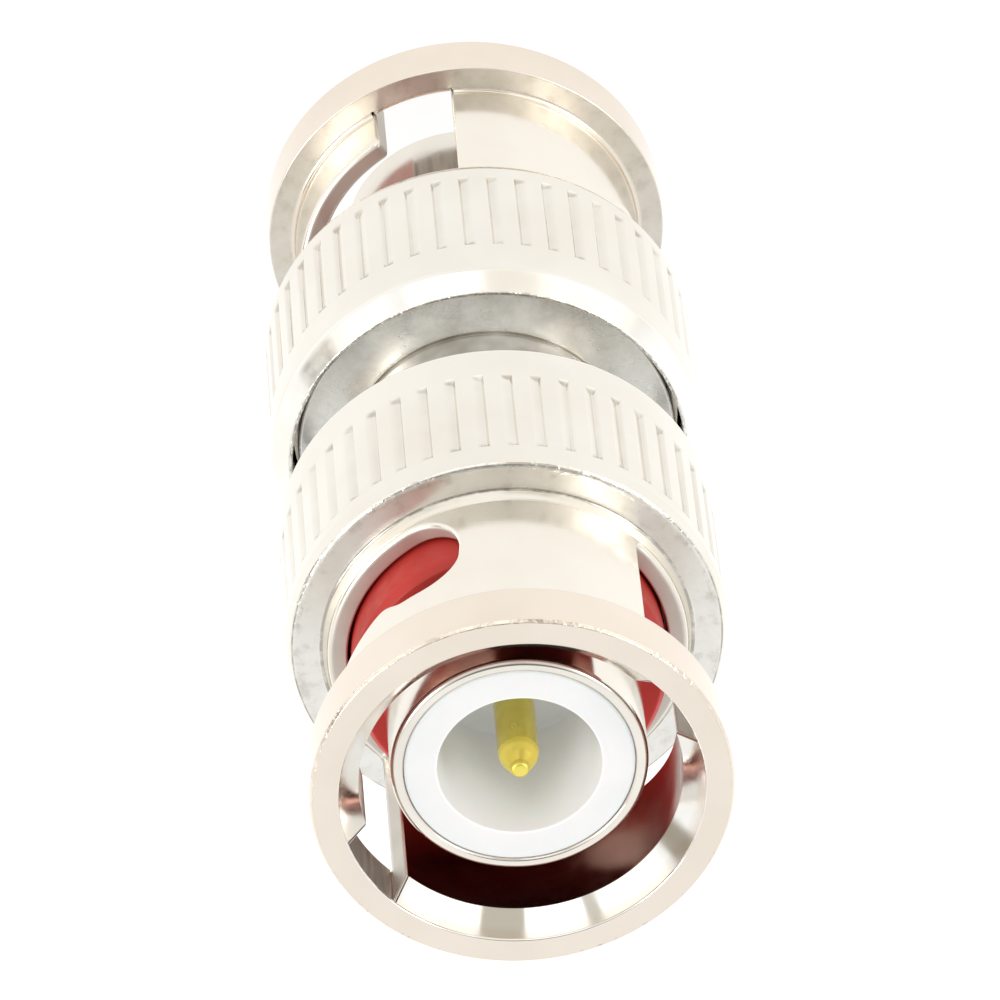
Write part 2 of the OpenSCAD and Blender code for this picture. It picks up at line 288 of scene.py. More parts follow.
def cylinder_patch(shape, R, outward, s0, s1, start, cols, holes, step_a, step_s):
    """A cylinder wall with holes: triangulated in its unrolled plane (R times angle, s). start is the seam's angle, where no hole is."""
    x0, x1 = math.radians(start) * R, math.radians(start + 360) * R
    cx = np.radians(np.asarray(cols)) * R
    feet = np.array(sorted([h[0, 0] for h in holes] + [h[-1, 0] for h in holes]))
    bottom = [x for x in cx if x0 + 1e-6 < x < x1 - 1e-6 and not any(h[0, 0] - 0.02 < x < h[-1, 0] + 0.02 for h in holes)]
    verts, edges = [], []

    def add(x, y):
        verts.append((x, y))
        return len(verts) - 1

    corners = [add(x0, s0), add(x1, s0), add(x1, s1), add(x0, s1)]
    row = sorted([(x, None) for x in bottom] + [(h[0, 0], (k, 0)) for k, h in enumerate(holes)] + [(h[-1, 0], (k, 1)) for k, h in enumerate(holes)], key=lambda e: e[0])
    prev, foot = corners[0], {}
    for x, tag in row:
        i = add(x, s0)
        if tag:
            foot[tag] = i
        if not (tag and tag[1] == 1):
            edges.append((prev, i))
        prev = i
    edges.append((prev, corners[1]))
    prev = corners[3]
    for x in [x for x in cx if x0 + 1e-6 < x < x1 - 1e-6]:
        i = add(x, s1)
        edges.append((prev, i))
        prev = i
    edges.append((prev, corners[2]))
    side = np.arange(s0, s1, step_s)[1:]
    for xx, a, b in ((x0, corners[0], corners[3]), (x1, corners[1], corners[2])):
        prev = a
        for s in side:
            i = add(xx, s)
            edges.append((prev, i))
            prev = i
        edges.append((prev, b))
    for k, h in enumerate(holes):
        prev = foot[(k, 0)]
        for p in h[1:-1]:
            i = add(*p)
            edges.append((prev, i))
            prev = i
        edges.append((prev, foot[(k, 1)]))
    # points inside, away from the outlines
    gx = np.arange(x0, x1, math.radians(step_a) * R)[1:-1]
    gs = side
    g = np.array([(x + (0.5 if j % 2 else 0) * math.radians(step_a) * R, s) for j, s in enumerate(gs) for x in gx])
    if len(g):
        g = g[(g[:, 0] < x1 - 0.1) & (g[:, 0] > x0 + 0.1)]
        for h in holes:
            big = np.vstack([h, [h[-1, 0], s0 - 1], [h[0, 0], s0 - 1]])
            g = g[~inside(big, g)]
            dd = np.sqrt(((g[:, None] - h[None]) ** 2).sum(axis=2)).min(axis=1)
            g = g[dd > 0.18]
        for p in g:
            add(*p)
    vv, _, faces, _, _, _ = delaunay_2d_cdt([Vector(v) for v in verts], edges, [], 0, 1e-6)
    vv = np.array([tuple(v) for v in vv])
    F = np.array([f for f in faces if len(f) == 3])
    c = vv[F].mean(axis=1)
    keep = (c[:, 1] > s0) & (c[:, 1] < s1)
    for h in holes:
        big = np.vstack([h, [h[-1, 0], s0 - 1], [h[0, 0], s0 - 1]])
        keep &= ~inside(big, c)
    F = F[keep]
    th = vv[:, 0] / R
    P = np.stack([R * np.cos(th), R * np.sin(th), vv[:, 1]], axis=1)
    N = np.stack([np.cos(th), np.sin(th), np.zeros(len(th))], axis=1) * (1 if outward else -1)
    shape.tris(P[F], N[F])


def nut(name, clock, phase, upper):
    """One coupling nut, built in the frame of its own end."""
    S = Shape()
    per = 360 / GROOVES
    deg = math.degrees(1 / GRIP_R)
    offs = np.array([-0.38, -0.35, -0.33, -0.29, -0.22, -0.15, -0.08, -0.04, -0.015, 0.0, 0.02, 0.04, 0.06, 0.085, 0.11, 0.135, 0.24]) * deg
    offs = np.r_[offs, per / 2]
    centres = phase + np.arange(GROOVES) * per
    cols = np.sort(np.unique(np.round((centres[:, None] + offs[None]).ravel() % 360, 6)))
    start = clock - 30.0  # the seam, clear of both slots
    cols = np.sort((cols - start) % 360 + start)
    full = np.r_[start, cols[(cols > start + 1e-6) & (cols < start + 360 - 1e-6)], start + 360]
    thin = np.linspace(start, start + 360, 241)

    # front of the nut: mouth edge, flat face, edge break, flange band, rear face of the flange
    P, N = rounded([(MOUTH_R - 0.03, 0.058), (MOUTH_R, 0, 0.05), (FLANGE_R - 0.085, 0, 0.06), (FLANGE_R, 0.11, 0.06), (FLANGE_R, FLANGE_T, 0.06), (NECK_R + FILLET, FLANGE_T)], 4)
    spin(S, P, N, thin)
    # from the neck's end to the grip
    P, N = rounded([(NECK_R, NECK_TOP), (NECK_R + 0.02, NECK_TOP + 0.06, 0.05), (5.93, SHOULDER, 0.10), (GRIP_R - 0.16, SHOULDER, 0.20), (GRIP_R, GRIP_F, 0.10), (GRIP_R, GROOVE0)], 4)
    spin(S, P, N, full)
    # the grip with its grooves
    th = np.radians(full)
    near = np.round((full - phase) / per) * per + phase
    x = np.radians(full - near) * GRIP_R

    fine = np.arange(-0.5, 0.5, 0.005)
    prof = np.clip(np.minimum(1 + fine / SHALLOW, 1 - fine / STEEP), 0, 1)
    prof = np.convolve(prof, np.ones(7) / 7, mode="same") * GROOVE_D
    dep = np.interp(x, fine, prof)
    dslope = np.interp(x, fine, np.gradient(prof, fine))
    END = 0.20  # length of the sloped ends
    run = np.array([0.0, 0.02, 0.05, 0.08, 0.11, 0.14, 0.17, 0.20, 0.24])
    zs = np.r_[GROOVE0 + run, (GROOVE0 + GROOVE1) / 2, GROOVE1 - run[::-1]]
    lim = np.clip(np.minimum(zs - GROOVE0, GROOVE1 - zs) / END, 0, 1) * GROOVE_D
    way = np.where(zs < (GROOVE0 + GROOVE1) / 2, 1.0, -1.0) * GROOVE_D / END
    rad = np.stack([np.cos(th), np.sin(th), 0 * th], axis=1)
    tan = np.stack([-np.sin(th), np.cos(th), 0 * th], axis=1)
    rows, norms = [], []
    for z, l, w in zip(zs, lim, way):
        on = 1 / (1 + np.exp(np.clip((dep - l) / 0.006, -40, 40)))  # 1 where the sides rule, 0 where the sloped end does
        d = dep * on + l * (1 - on)
        d = np.minimum(d, dep)
        rows.append(rad * (GRIP_R - d)[:, None] + [0, 0, z])
        norms.append(rad + (dslope * on)[:, None] * tan + ((1 - on) * w)[:, None] * np.array([0, 0, 1.0]))
    S.strip(np.stack(rows), np.stack(norms))
    # plain end of the grip, bevel, rear face, counterbore, web, bore
    P, N = rounded([(GRIP_R, GROOVE1), (GRIP_R, GRIP_B, 0.45), (BEVEL_R, NUT_L, 0.06), (REAR_BORE, NUT_L, 0.05), (REAR_BORE, WEB_B, 0.1), (WEB_R, WEB_B, 0.05), (WEB_R, WEB_F, 0.05), (BORE_R, WEB_F)], 4)
    spin(S, P, N, full)

    o, i = slot_path()
    no, ni = path_normals(o), path_normals(i)
    start_l = start - clock
    clk = lambda c: np.asarray(c) - clock

    def cut(v, s):
        """The stretch of an open path that lies above s, ending exactly on it."""
        k = np.where(v[:, 1] > s + 0.01)[0]
        a, b = k[0], k[-1]
        lo = v[a - 1] + (v[a] - v[a - 1]) * (s - v[a - 1, 1]) / (v[a, 1] - v[a - 1, 1])
        hi = v[b + 1] + (v[b] - v[b + 1]) * (s - v[b + 1, 1]) / (v[b, 1] - v[b + 1, 1])
        return np.vstack([lo, v[a : b + 1], hi])

    L = Shape()  # built with the first slot at angle 0, then turned to the clock angle
    oo = o + no * EDGE
    ii = i + ni * EDGE
    s_o, s_i = FLANGE_T + FILLET, CONE_L
    h_o, h_i = cut(oo, s_o), cut(ii, s_i)
    half_o, half_i = math.pi * NECK_R, math.pi * BORE_R
    holes_o = [h_o, h_o + [half_o, 0]]
    holes_i = [h_i, h_i + [half_i, 0]]
    lcols = clk(full)
    cylinder_patch(L, NECK_R, True, s_o, NECK_TOP, start_l, lcols, holes_o, 3.0, 0.7)
    cylinder_patch(L, BORE_R, False, s_i, WEB_F, start_l, clk(thin), holes_i, 3.0, 0.9)
    # fillet between flange and neck, and the lead-in cone, where there is no slot
    Pf = np.array([[NECK_R + FILLET - FILLET * math.sin(t), FLANGE_T + FILLET - FILLET * math.cos(t)] for t in np.linspace(0, math.pi / 2, 6)])
    Nf = np.array([[math.sin(t), math.cos(t)] for t in np.linspace(0, math.pi / 2, 6)])
    Pc = np.array([[MOUTH_R - 0.03, 0.058], [BORE_R, CONE_L]])
    dc = Pc[1] - Pc[0]
    nc = np.array([-dc[1], dc[0]]) / np.linalg.norm(dc)
    Nc = np.array([nc, nc])
    for P_, N_, h, R_ in ((Pf, Nf, h_o, NECK_R), (Pc, Nc, h_i, BORE_R)):
        a0, a1 = math.degrees(h[-1, 0] / R_), 180 + math.degrees(h[0, 0] / R_)
        lc = lcols if R_ == NECK_R else clk(thin)
        for base_a in (0, 180):
            ang = (lc - start_l + 3600) % 360 + start_l
            s0_, s1_ = a0 + base_a, a1 + base_a
            allc = np.sort(np.r_[ang, ang + 360])
            ang = np.r_[s0_, allc[(allc > s0_ + 0.01) & (allc < s1_ - 0.01)], s1_]
            spin(L, P_, N_, ang)
            if R_ == NECK_R:
                for end_a, way in ((s0_, -1.0), (s1_, 1.0)):
                    q = math.radians(end_a)
                    rim = np.array([[r_ * math.cos(q), r_ * math.sin(q), z_] for r_, z_ in P_])
                    mid_ = np.array([NECK_R * math.cos(q), NECK_R * math.sin(q), FLANGE_T])
                    nn = np.array([-math.sin(q), math.cos(q), 0.0]) * way
                    tri = np.array([[mid_, a_, b_] for a_, b_ in zip(rim[:-1], rim[1:])])
                    L.tris(tri, np.tile(nn, (len(tri), 3, 1)))
    # slot walls with rounded edges
    W = Shape()
    top = np.clip((o[:, 1] - FLANGE_T + 0.3) / 0.25, 0, 1)  # past the flange the wall ends in a rounded outer edge
    rows_p, rows_n = [], []
    cone_r = lambda s: np.where(s < CONE_L, MOUTH_R - (MOUTH_R - BORE_R) * np.clip(s, 0, CONE_L) / CONE_L, BORE_R)

    def place(v, R_map, R, vn, radial, wall):
        """v: unrolled path at radius R_map; gives points at radius R and normals blended from the radial and the in-plane direction."""
        th_ = v[:, 0] / R_map
        p = np.stack([R * np.cos(th_), R * np.sin(th_), v[:, 1]], axis=1)
        e_r = np.stack([np.cos(th_), np.sin(th_), 0 * th_], axis=1)
        e_t = np.stack([-np.sin(th_), np.cos(th_), 0 * th_], axis=1)
        n = e_r * radial - (e_t * vn[:, :1] + [0, 0, 1] * vn[:, 1:]) * wall
        return p, n

    for k in range(7):
        t = k / 6 * math.pi / 2
        v = o + no * (EDGE * (1 - math.sin(t)) * top)[:, None]
        r = NECK_R - EDGE_R * (1 - math.cos(t)) * top
        p, n = place(v, NECK_R, r, no, math.cos(t), math.sin(t))
        rows_p.append(p)
        rows_n.append(n)
    for k in range(5):
        t = (1 - k / 4) * math.pi / 2
        v = i + ni * EDGE * (1 - math.sin(t))
        r = cone_r(i[:, 1]) + EDGE * (1 - math.cos(t))
        p, n = place(v, BORE_R, np.minimum(r, NECK_R), ni, -math.cos(t), math.sin(t))
        rows_p.append(p)
        rows_n.append(n)
    ks = np.where(o[:, 1] > 0.06)[0]
    rp, rn = np.array(rows_p)[:, ks], np.array(rows_n)[:, ks]
    W.strip(rp, rn)
    # floor of the entry channel under the flange, and the flange's inner rim over it
    a_in = np.linspace(0, ENTRY, 13)
    P, N = rounded([(NECK_R + FILLET, FLANGE_T), (NECK_R, FLANGE_T, 0.05), (NECK_R, 0.06)], 4)
    spin(W, P, N, a_in)
    P, N = np.array([[NECK_R, 0.06], [MOUTH_R - 0.03, 0.058]]), np.array([[-1.0, 0], [-0.7, -0.7]])
    spin(W, P, N, a_in)
    W.copy_turned(180)
    L.add(W)
    a = math.radians(clock)
    m = np.array([[math.cos(a), -math.sin(a), 0], [math.sin(a), math.cos(a), 0], [0, 0, 1]])
    for arr in (L.q, L.qn, L.t, L.tn):
        for j in range(len(arr)):
            arr[j] = arr[j] @ m.T
    S.add(L)
    return S.make(name, upper)


nut_a = nut("nut_a_shell", 139.7, -90, True)
nut_b = nut("nut_b_shell", 90.4, 90, False)

# ---------------------------------------------------------------- turned pieces

SLV, SLI, SLS = 4.065, 3.66, 1.45
contact_pts = [
    (SLV, 3.0, 0), (SLV, 6.05, 0.03), (3.9, 6.05, 0.02), (3.9, 8.6, 0.03), (4.95, 8.6, 0.05), (4.95, 9.4, 0.05), (3.9, 9.4, 0.05),
    (3.9, 12.4, 0.1), (2.95, 12.4, 0.05), (2.95, 8.0, 0.03), (SLI, 8.0, 0.03), (SLI, SLS, 0.09), (SLV, SLS, 0.20)]


def turned(name, pts, node, body, upper, n=240, seg=4):
    ob = lathe(name, pts, upper, n, seg)
    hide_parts(node)
    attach(ob, body)
    return ob


def fix_order(pts):
    """Puts a closed outline in the order that the lathe wants."""
    a = 0.0
    for p, q in zip(pts, pts[1:] + pts[:1]):
        a += p[0] * q[1] - q[0] * p[1]
    return pts if a > 0 else pts[::-1]


objs = {}
for end, up in (("a", True), ("b", False)):
    objs["contact_" + end] = turned("contact_sleeve_" + end, fix_order(contact_pts), "outer_contact_" + end, "core", up, 240, 5)
    objs["ptfe_" + end] = turned("insulator_" + end, fix_order([
        (2.60, 1.47, 0.05), (3.65, 1.47, 0.11), (3.65, 7.99, 0.03), (2.94, 7.99, 0.03), (2.94, 12.4, 0.05), (0.86, 12.4, 0.02), (0.86, 6.84, 0.02), (0.66, 6.84, 0.02), (0.66, 6.7, 0.03), (2.60, 6.7, 0.12)]),
        "dielectric_" + end, "core", up, 200, 5)
    objs["bead_" + end] = turned("support_bead_" + end, fix_order([
        (0.86, 12.41, 0.02), (3.29, 12.41, 0.05), (3.29, 16.695, 0.05), (1.31, 16.695, 0.02), (1.31, 15.69, 0.02), (0.86, 15.69, 0.02)]),
        "bead_" + end, "core", up, 120, 3)
    objs["gasket_" + end] = turned("seal_ring_" + end, fix_order([
        (3.92, 6.1, 0.06), (4.81, 6.1, 0.12), (5.01, 6.4, 0.25), (5.01, 8.58, 0.06), (3.92, 8.58, 0.04)]), "gasket_" + end, "core", up, 200, 5)
    objs["slip_" + end] = turned("slip_ring_" + end, fix_order([
        (4.62, 12.84, 0.03), (5.95, 12.84, 0.03), (5.95, 13.09, 0.03), (4.62, 13.09, 0.03)]), "slip_washer_" + end, "core", up, 200, 3)


def spring_ring(end, up):
    """The bowed spring washer: a thin strip ring bent to a large radius, which flattens as the nut is drawn in."""
    seat, outer, thick, n = 9.41, 25.25, 0.25, 200
    section = [(4.65, 0.0), (4.97, 0.0), (4.99, 0.05), (5.0, 0.16), (5.0, 0.84), (4.99, 0.95), (4.97, 1.0), (4.65, 1.0), (4.63, 0.95), (4.62, 0.84), (4.62, 0.16), (4.63, 0.05)]
    bm = bmesh.new()
    rows = []
    for k in range(n):
        a = 2 * math.pi * k / n
        row = []
        for r, t in section:
            x, y = r * math.cos(a), r * math.sin(a)
            s = seat + outer - math.sqrt((outer - thick * t) ** 2 - x * x)
            row.append(bm.verts.new((x * MM, y * MM, ((TOTAL - s) if up else s) * MM)))
        rows.append(row)
    for k in range(n):
        p, q = rows[k], rows[(k + 1) % n]
        for i in range(len(section)):
            j = (i + 1) % len(section)
            bm.faces.new((p[i], p[j], q[j], q[i])).smooth = True
    bmesh.ops.recalc_face_normals(bm, faces=bm.faces)
    me = bpy.data.meshes.new("spring_ring_" + end)
    bm.to_mesh(me)
    bm.free()
    ob = bpy.data.objects.new("spring_ring_" + end, me)
    scene.collection.objects.link(ob)
    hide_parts("wave_washer_" + end)
    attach(ob, "core")
    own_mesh(ob)
    return ob


objs["spring_a"], objs["spring_b"] = spring_ring("a", True), spring_ring("b", False)
body_pts = fix_order([
    (3.91, 9.41, 0.03), (4.50, 9.41, 0.06), (4.50, 13.1, 0.05), (6.2, 13.1, 0.05), (6.2, 14.3, 0.10), (4.42, 14.3, 0.03), (4.42, 14.44, 0.04), (4.50, 14.5, 0.03),
    (4.50, TOTAL - 14.5, 0.03), (4.42, TOTAL - 14.44, 0.04), (4.42, TOTAL - 14.3, 0.03), (6.2, TOTAL - 14.3, 0.10), (6.2, TOTAL - 13.1, 0.05), (4.50, TOTAL - 13.1, 0.05), (4.50, TOTAL - 9.41, 0.06),
    (3.91, TOTAL - 9.41, 0.03), (3.91, TOTAL - 12.4, 0.03), (3.3, TOTAL - 12.4, 0.03), (3.3, 12.4, 0.03), (3.91, 12.4, 0.03)])
objs["body"] = turned("adapter_body", body_pts, "centre_body", "core", False, 240, 4)


def pin():
    half = [(0.0, 1.20, 0), (0.29, 1.20, 0.12), (0.31, 1.42, 0.05), (0.49, 1.68, 0.10), (0.61, 1.94, 0.20), (0.65, 2.15, 0.15), (0.65, 6.85, 0.02), (0.85, 6.85, 0.03), (0.85, 15.7, 0.03), (1.3, 15.7, 0.04), (1.3, 16.7, 0)]
    s = Shape()
    P, N = rounded(half, 5)
    spin(s, P, N, np.linspace(0, 360, 121))
    other = Shape()
    other.q = [q * [1, -1, -1] + [0, 0, TOTAL] for q in s.q]
    other.qn = [q * [1, -1, -1] for q in s.qn]
    s.add(other)
    return s.make("contact_pin", False)


objs["pin"] = pin()
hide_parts("centre_pin")
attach(objs["pin"], "core")
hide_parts("coupling_nut_a")
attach(nut_a, "nut_a")
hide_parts("coupling_nut_b")
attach(nut_b, "nut_b")
objs["nut_a"], objs["nut_b"] = nut_a, nut_b

# ---------------------------------------------------------------- materials


class Mat:
    """Small helper for node materials."""

    def __init__(self, name):
        self.m = bpy.data.materials.new(name)
        self.m.use_nodes = True
        self.nt = self.m.node_tree
        self.nt.nodes.clear()
        self.out = self.node("ShaderNodeOutputMaterial")
        self.b = self.node("ShaderNodeBsdfPrincipled")
        self.link(self.b.outputs[0], self.out.inputs[0])
        self.tc = self.node("ShaderNodeTexCoord")
        self.bumps = []

    def node(self, kind, **props):
        n = self.nt.nodes.new(kind)
        for k, v in props.items():
            setattr(n, k, v)
        return n

    def link(self, a, b):
        self.nt.links.new(a, b)

    def set(self, **vals):
        for k, v in vals.items():
            self.b.inputs[k.replace("_", " ")].default_value = v

    def obj(self):
        return self.tc.outputs["Object"]

    def xyz(self):
        s = self.node("ShaderNodeSeparateXYZ")
        self.link(self.obj(), s.inputs[0])
        return s

    def math(self, op, a, b=None, c=None, clamp=False):
        n = self.node("ShaderNodeMath", operation=op, use_clamp=clamp)
        for i, v in enumerate((a, b, c)):
            if v is None:
                continue
            if isinstance(v, (int, float)):
                n.inputs[i].default_value = v
            else:
                self.link(v, n.inputs[i])
        return n.outputs[0]

    def radius(self):
        s = self.xyz()
        xx = self.math("MULTIPLY", s.outputs[0], s.outputs[0])
        yy = self.math("MULTIPLY_ADD", s.outputs[1], s.outputs[1], xx)
        return self.math("SQRT", yy), s.outputs[2]

    def noise(self, scale, detail=2.0, rough=0.5, dims="3D", vec=None, w=None):
        n = self.node("ShaderNodeTexNoise", noise_dimensions=dims)
        n.inputs["Scale"].default_value = scale
        n.inputs["Detail"].default_value = detail
        n.inputs["Roughness"].default_value = rough
        if dims == "1D":
            self.link(w, n.inputs["W"])
        else:
            self.link(vec if vec is not None else self.obj(), n.inputs["Vector"])
        return n.outputs["Fac"]

    def ramp(self, fac, stops, interp="LINEAR"):
        n = self.node("ShaderNodeValToRGB")
        n.color_ramp.interpolation = interp
        e = n.color_ramp.elements
        while len(e) > 1:
            e.remove(e[-1])
        e[0].position = stops[0][0]
        e[0].color = tuple(stops[0][1]) + (1,)
        for pos, col in stops[1:]:
            k = e.new(pos)
            k.color = tuple(col) + (1,)
        self.link(fac, n.inputs[0])
        return n.outputs[0]

    def mix(self, fac, a, b):
        n = self.node("ShaderNodeMix", data_type="RGBA")
        for sock, v in ((n.inputs[0], fac), (n.inputs[6], a), (n.inputs[7], b)):
            if isinstance(v, tuple):
                sock.default_value = v + (1,)
            else:
                self.link(v, sock)
        return n.outputs[2]

    def span(self, fac, lo, hi, a=0.0, b=1.0, smooth=False):
        n = self.node("ShaderNodeMapRange", clamp=True)
        if smooth:
            n.interpolation_type = "SMOOTHSTEP"
        n.inputs["From Min"].default_value = lo
        n.inputs["From Max"].default_value = hi
        n.inputs["To Min"].default_value = a
        n.inputs["To Max"].default_value = b
        self.link(fac, n.inputs["Value"])
        return n.outputs["Result"]

    def bump(self, height, strength, dist):
        n = self.node("ShaderNodeBump")
        n.inputs["Strength"].default_value = strength
        n.inputs["Distance"].default_value = dist
        self.link(height, n.inputs["Height"])
        if self.bumps:
            self.link(self.bumps[-1].outputs[0], n.inputs["Normal"])
        self.bumps.append(n)

    def done(self):
        if self.bumps:
            self.link(self.bumps[-1].outputs[0], self.b.inputs["Normal"])
        return self.m


def nickel(name, light, dark, r0, r1, ring=0.5, aniso=0.0, wave=1.0, fine=0.0, edge_z=None):
    """Bright nickel over turned brass: soft waviness, turning marks and cloudy gloss."""
    m = Mat(name)
    m.set(Metallic=1.0, Anisotropic=aniso)
    n = m.noise(260, 3, 0.55)
    m.link(m.ramp(n, [(0.32, dark), (0.62, light)]), m.b.inputs["Base Color"])
    n2 = m.noise(900, 3, 0.6)
    m.link(m.span(n2, 0.3, 0.7, r0, r1), m.b.inputs["Roughness"])
    rad, z = m.radius()
    c = m.math("ADD", rad, z)
    rings = m.noise(14000, 2, 0.6, "1D", w=c)
    m.bump(rings, 0.5 * ring, 0.000001)
    m.bump(m.noise(420, 2, 0.5), 0.35 * wave, 0.00005)
    if fine:
        m.bump(m.noise(6000, 2, 0.5), fine, 0.00001)
    if aniso:
        t = m.node("ShaderNodeTangent", direction_type="RADIAL", axis="Z")
        m.link(t.outputs[0], m.b.inputs["Tangent"])
    return m.done()


def nut_nickel():
    """The nut's plating, with painted light and shade in its tints: warmer and darker on the flange, lighter on the
    neck, whiter on the grip, painted shade tinted red as a painted reflection inside the bore, painted shade on the
    rougher milled slot walls, painted highlights on the lead-in cone and rear bevel, with small nicks along the front
    edges."""
    m = Mat("nickel_nut")
    m.set(Metallic=1.0)
    rad, z = m.radius()
    dist = m.math("MULTIPLY", m.math("MINIMUM", z, m.math("SUBTRACT", TOTAL * MM, z)), 1000.0)  # mm from the nearer mouth
    r = m.math("MULTIPLY", rad, 1000.0)
    cloud = m.noise(260, 3, 0.55)
    # three tints of the one plating for flange, neck and grip: painted light and shade, darker and warmer on the flange
    # band, lighter on the neck
    flange = m.ramp(cloud, [(0.32, (0.815, 0.72, 0.62)), (0.62, (0.855, 0.765, 0.665))])
    neck = m.ramp(cloud, [(0.32, (0.85, 0.79, 0.70)), (0.62, (0.89, 0.84, 0.755))])
    grip = m.ramp(cloud, [(0.32, (0.82, 0.775, 0.70)), (0.62, (0.865, 0.83, 0.76))])
    # inside the bore: painted shade, tinted red as a painted reflection of the seal ring
    bore_shade_paint = m.ramp(cloud, [(0.32, (0.42, 0.24, 0.22)), (0.62, (0.50, 0.30, 0.27))])
    # slot walls: painted shade, darker than the rest of the plating; their finish is also rougher
    wall = m.ramp(cloud, [(0.32, (0.56, 0.53, 0.48)), (0.62, (0.68, 0.64, 0.58))])
    is_flange = m.span(dist, 1.90, 1.74, smooth=True)
    is_grip = m.span(dist, 7.7, 8.1, smooth=True)
    over_cone = m.math("MULTIPLY_ADD", dist, (MOUTH_R - BORE_R) / CONE_L, r)  # equals MOUTH_R on the lead-in cone
    is_wall = m.math("MULTIPLY", m.math("MULTIPLY", m.span(over_cone, 5.79, 5.83), m.span(r, 5.12, 5.15)), m.math("MULTIPLY", m.span(r, 5.70, 5.62), m.span(dist, 7.9, 7.85)))
    is_bore = m.math("MULTIPLY", m.span(r, 5.14, 5.12), m.math("MULTIPLY", m.span(dist, CONE_L + 0.01, CONE_L + 0.08), m.span(dist, 15.2, 15.1)))
    is_cone = m.math("MULTIPLY", m.span(over_cone, 5.79, 5.78), m.span(dist, CONE_L + 0.02, CONE_L))
    is_rear = m.math("MULTIPLY", m.span(dist, 14.2, 14.45), m.span(r, 6.3, 6.4))
    is_channel = m.math("MULTIPLY", m.math("MULTIPLY", m.span(over_cone, 5.84, 5.90), m.span(r, 5.72, 5.75)), m.math("MULTIPLY", m.span(r, 5.82, 5.80), m.span(dist, 1.76, 1.74)))
    # painted shade along the grooves, and darker painted shade at their sloped ends
    in_groove = m.math("MULTIPLY", m.span(r, 7.05, 6.97), m.math("MULTIPLY", m.span(dist, 8.9, 8.95), m.span(dist, 13.0, 12.95)))
    ends = m.math("MULTIPLY", m.span(r, 7.05, 7.0), m.math("MAXIMUM", m.math("MULTIPLY", m.span(dist, 8.93, 8.98), m.span(dist, 9.22, 9.10)), m.math("MULTIPLY", m.span(dist, 12.68, 12.80), m.span(dist, 12.97, 12.92))))
    col = m.mix(is_flange, neck, flange)
    col = m.mix(is_grip, col, grip)
    col = m.mix(m.math("MULTIPLY", in_groove, m.span(m.noise(700, 2, 0.5), 0.3, 0.7, 0.10, 0.45)), col, (0.66, 0.62, 0.56))
    col = m.mix(m.math("MULTIPLY", ends, m.span(m.noise(1300, 2, 0.5), 0.35, 0.6, 0.15, 0.65)), col, (0.36, 0.33, 0.28))
    # broken dark lines: a painted dark reflection on the grip's rounded front edge, and painted shade in the corner
    # between neck and shoulder
    broken = m.span(m.noise(1500, 3, 0.6), 0.34, 0.56, 0.15, 0.9)
    line1 = m.math("MULTIPLY", m.math("MULTIPLY", m.span(r, 6.74, 6.77), m.span(r, 6.90, 6.87)), m.math("MULTIPLY", m.span(dist, 8.05, 8.07), m.span(dist, 8.30, 8.26)))
    line2 = m.math("MULTIPLY", m.math("MULTIPLY", m.span(r, 5.90, 5.92), m.span(r, 6.01, 5.99)), m.math("MULTIPLY", m.span(dist, 7.9, 7.95), m.span(dist, 8.14, 8.12)))
    painted_edge_lines = m.math("MULTIPLY", m.math("MAXIMUM", line1, m.math("MULTIPLY", line2, 0.6)), broken)
    col = m.mix(painted_edge_lines, col, (0.10, 0.09, 0.08))
    # lead-in cone and rear bevel: painted highlights, lighter patches of the plating
    bright = m.ramp(m.noise(170, 3, 0.6), [(0.34, (0.83, 0.80, 0.74)), (0.52, (0.94, 0.92, 0.88)), (0.70, (0.96, 0.95, 0.92))])
    col = m.mix(m.math("MAXIMUM", is_cone, is_rear), col, bright)
    # a painted dark reflection on one side of the rear bevel
    at = m.xyz()
    along = m.math("DIVIDE", m.math("MULTIPLY_ADD", at.outputs[0], -0.775, m.math("MULTIPLY", at.outputs[1], 0.632)), rad)  # 1 at the middle of the painted dark reflection
    dark_reflection_paint = m.math("MULTIPLY", m.math("MULTIPLY", is_rear, m.span(r, 7.02, 6.85, smooth=True)), m.span(along, 0.988, 0.998, smooth=True))
    col = m.mix(m.math("MULTIPLY", dark_reflection_paint, m.span(m.noise(700, 3, 0.6), 0.34, 0.56, 0.35, 0.9)), col, (0.36, 0.34, 0.29))
    mottle = m.noise(1300, 4, 0.65)
    is_face = m.math("MULTIPLY", m.math("MULTIPLY", m.span(r, 5.98, 6.04), m.span(r, 6.90, 6.86)), m.math("MULTIPLY", m.span(dist, 8.06, 8.09), m.span(dist, 8.14, 8.11)))
    col = m.mix(is_face, col, m.ramp(mottle, [(0.34, (0.70, 0.67, 0.62)), (0.46, (0.82, 0.80, 0.75)), (0.70, (0.87, 0.85, 0.80))]))
    # rear face of the flange and its fillet into the neck: painted shade, darker and mottled
    is_back = m.math("MULTIPLY", m.span(r, 5.84, 5.96), m.math("MULTIPLY", m.span(dist, 1.72, 1.745), m.span(dist, 1.92, 1.86)))
    col = m.mix(is_back, col, m.ramp(mottle, [(0.34, (0.62, 0.58, 0.51)), (0.48, (0.70, 0.66, 0.59)), (0.70, (0.75, 0.71, 0.64))]))
    col = m.mix(is_wall, col, wall)
